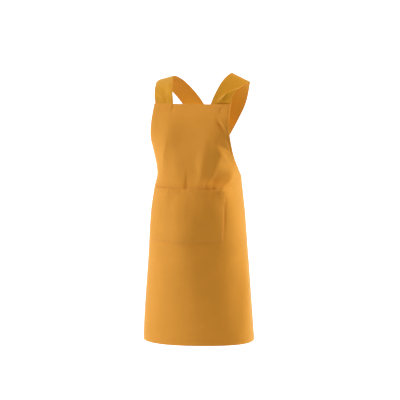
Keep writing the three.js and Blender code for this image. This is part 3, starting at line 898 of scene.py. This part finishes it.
# Strength of the glow painted into the backdrop's emission in place of lamps on it, and metres over which
# it begins behind the apron and dies out towards the sides.
BACKDROP_GLOW, GLOW_START, GLOW_SIDES = 0.7, (0.4, 1.0), (1.3, 2.0)

VIEW_AZIMUTH = math.radians(25)
right = Vector((math.cos(VIEW_AZIMUTH), math.sin(VIEW_AZIMUTH), 0))
ahead = Vector((-math.sin(VIEW_AZIMUTH), math.cos(VIEW_AZIMUTH), 0))

sweep = [(FLOOR_NEAR, 0.0), (BEND_START, 0.0)]
for turn in np.linspace(0, math.pi / 2, BEND_STEPS + 1)[1:]:
    sweep.append((BEND_START + BEND_RADIUS * math.sin(turn), BEND_RADIUS * (1 - math.cos(turn))))
sweep.append((BEND_START + BEND_RADIUS, BACKDROP_TOP))
corners = []
for depth, rise in sweep:
    for side in (-FLOOR_HALF_WIDTH, FLOOR_HALF_WIDTH):
        corners.append(right * side + ahead * depth + Vector((0, 0, FLOOR_Z + rise)))
mesh = bpy.data.meshes.new("floor")
mesh.from_pydata(corners, [], [(i, i + 1, i + 3, i + 2) for i in range(0, len(corners) - 2, 2)])
mesh.polygons.foreach_set("use_smooth", np.ones(len(mesh.polygons), dtype=bool))
floor = bpy.data.objects.new("floor", mesh)
bpy.context.collection.objects.link(floor)

paint = bpy.data.materials.new("floor_white")
paint.use_nodes = True
tree = paint.node_tree
place = add_node(tree, "NewGeometry").outputs["Position"]
depth, aside = (
    add_node(tree, "VectorMath", {0: place, 1: way}, operation="DOT_PRODUCT").outputs["Value"]
    for way in (ahead, right)
)
behind = {"Value": depth, "From Min": GLOW_START[0], "From Max": GLOW_START[1], "To Max": BACKDROP_GLOW}
amid = {"Value": calc(tree, "ABSOLUTE", aside), "From Min": GLOW_SIDES[0], "From Max": GLOW_SIDES[1],
        "To Min": 1.0, "To Max": 0.0}
glow = [add_node(tree, "MapRange", span).outputs["Result"] for span in (behind, amid)]
# The backdrop's glow is painted light in its emission, strongest behind the apron and gone at the sides.
set_inputs(tree, tree.nodes["Principled BSDF"], {
    "Base Color": FLOOR_WHITE,
    "Roughness": 0.9,
    "Emission Color": (1, 1, 1, 1),
    "Emission Strength": calc(tree, "MULTIPLY", *glow),
})
floor.data.materials.append(paint)

world = bpy.data.worlds.new("studio")
bpy.context.scene.world = world
world.use_nodes = True
tree = world.node_tree
set_inputs(tree, tree.nodes["Background"], {"Color": (1, 1, 1, 1), "Strength": 0.225})

# Soft lights: metres to the right of the apron as the camera sees it, towards the camera and up,
# width and height in metres, watts and colour.
SOFT_LIGHTS = {
    "left_soft_light": (-2.2, 0.0, 0.1, 1.2, 2.2, 46, (0.93, 1.07, 1.22)),
    "right_soft_light": (2.2, 0.0, -0.2, 1.2, 2.2, 31, (0.88, 1.10, 1.22)),
    "top_soft_light": (1.2, 0.8, 1.9, 2.0, 1.2, 38, (1.0, 0.98, 0.92)),
}
LIT_PLACE = Vector((0, 0, -0.45))  # the middle of the apron, which all lights face

for name, (sideways, towards, height, width, length, power, colour) in SOFT_LIGHTS.items():
    data = bpy.data.lights.new(name, "AREA")
    data.shape = "RECTANGLE"
    data.size, data.size_y = width, length
    data.energy, data.color = power, colour
    light = bpy.data.objects.new(name, data)
    light.location = right * sideways - ahead * towards + Vector((0, 0, height))
    light.rotation_euler = (LIT_PLACE - light.location).to_track_quat("-Z", "Y").to_euler()
    bpy.context.collection.objects.link(light)

# Camera: metres in front of the apron and above its shoulders, how far it looks down, the width of
# the picture and the focal length in pixels, and how far the apron stands from the picture's middle.
VIEW_DISTANCE, VIEW_HEIGHT, VIEW_PITCH = 4.0, 0.0525, math.radians(6.5)
PICTURE_PIXELS, FOCAL_PIXELS, OFF_MIDDLE_PIXELS = 400, 1212, 2.5
SENSOR = 36.0

camera_data = bpy.data.cameras.new("camera")
camera_data.sensor_width = SENSOR
camera_data.lens = SENSOR * FOCAL_PIXELS / PICTURE_PIXELS
camera_data.clip_end = 100
camera = bpy.data.objects.new("camera", camera_data)
yaw = math.atan(OFF_MIDDLE_PIXELS / FOCAL_PIXELS)
level_gaze = ahead * math.cos(yaw) - right * math.sin(yaw)
gaze = level_gaze * math.cos(VIEW_PITCH) - Vector((0, 0, math.sin(VIEW_PITCH)))
camera.location = -ahead * VIEW_DISTANCE + Vector((0, 0, VIEW_HEIGHT))
camera.rotation_euler = gaze.to_track_quat("-Z", "Y").to_euler()
bpy.context.collection.objects.link(camera)
scene = bpy.context.scene
scene.camera = camera
scene.view_settings.view_transform = "Standard"
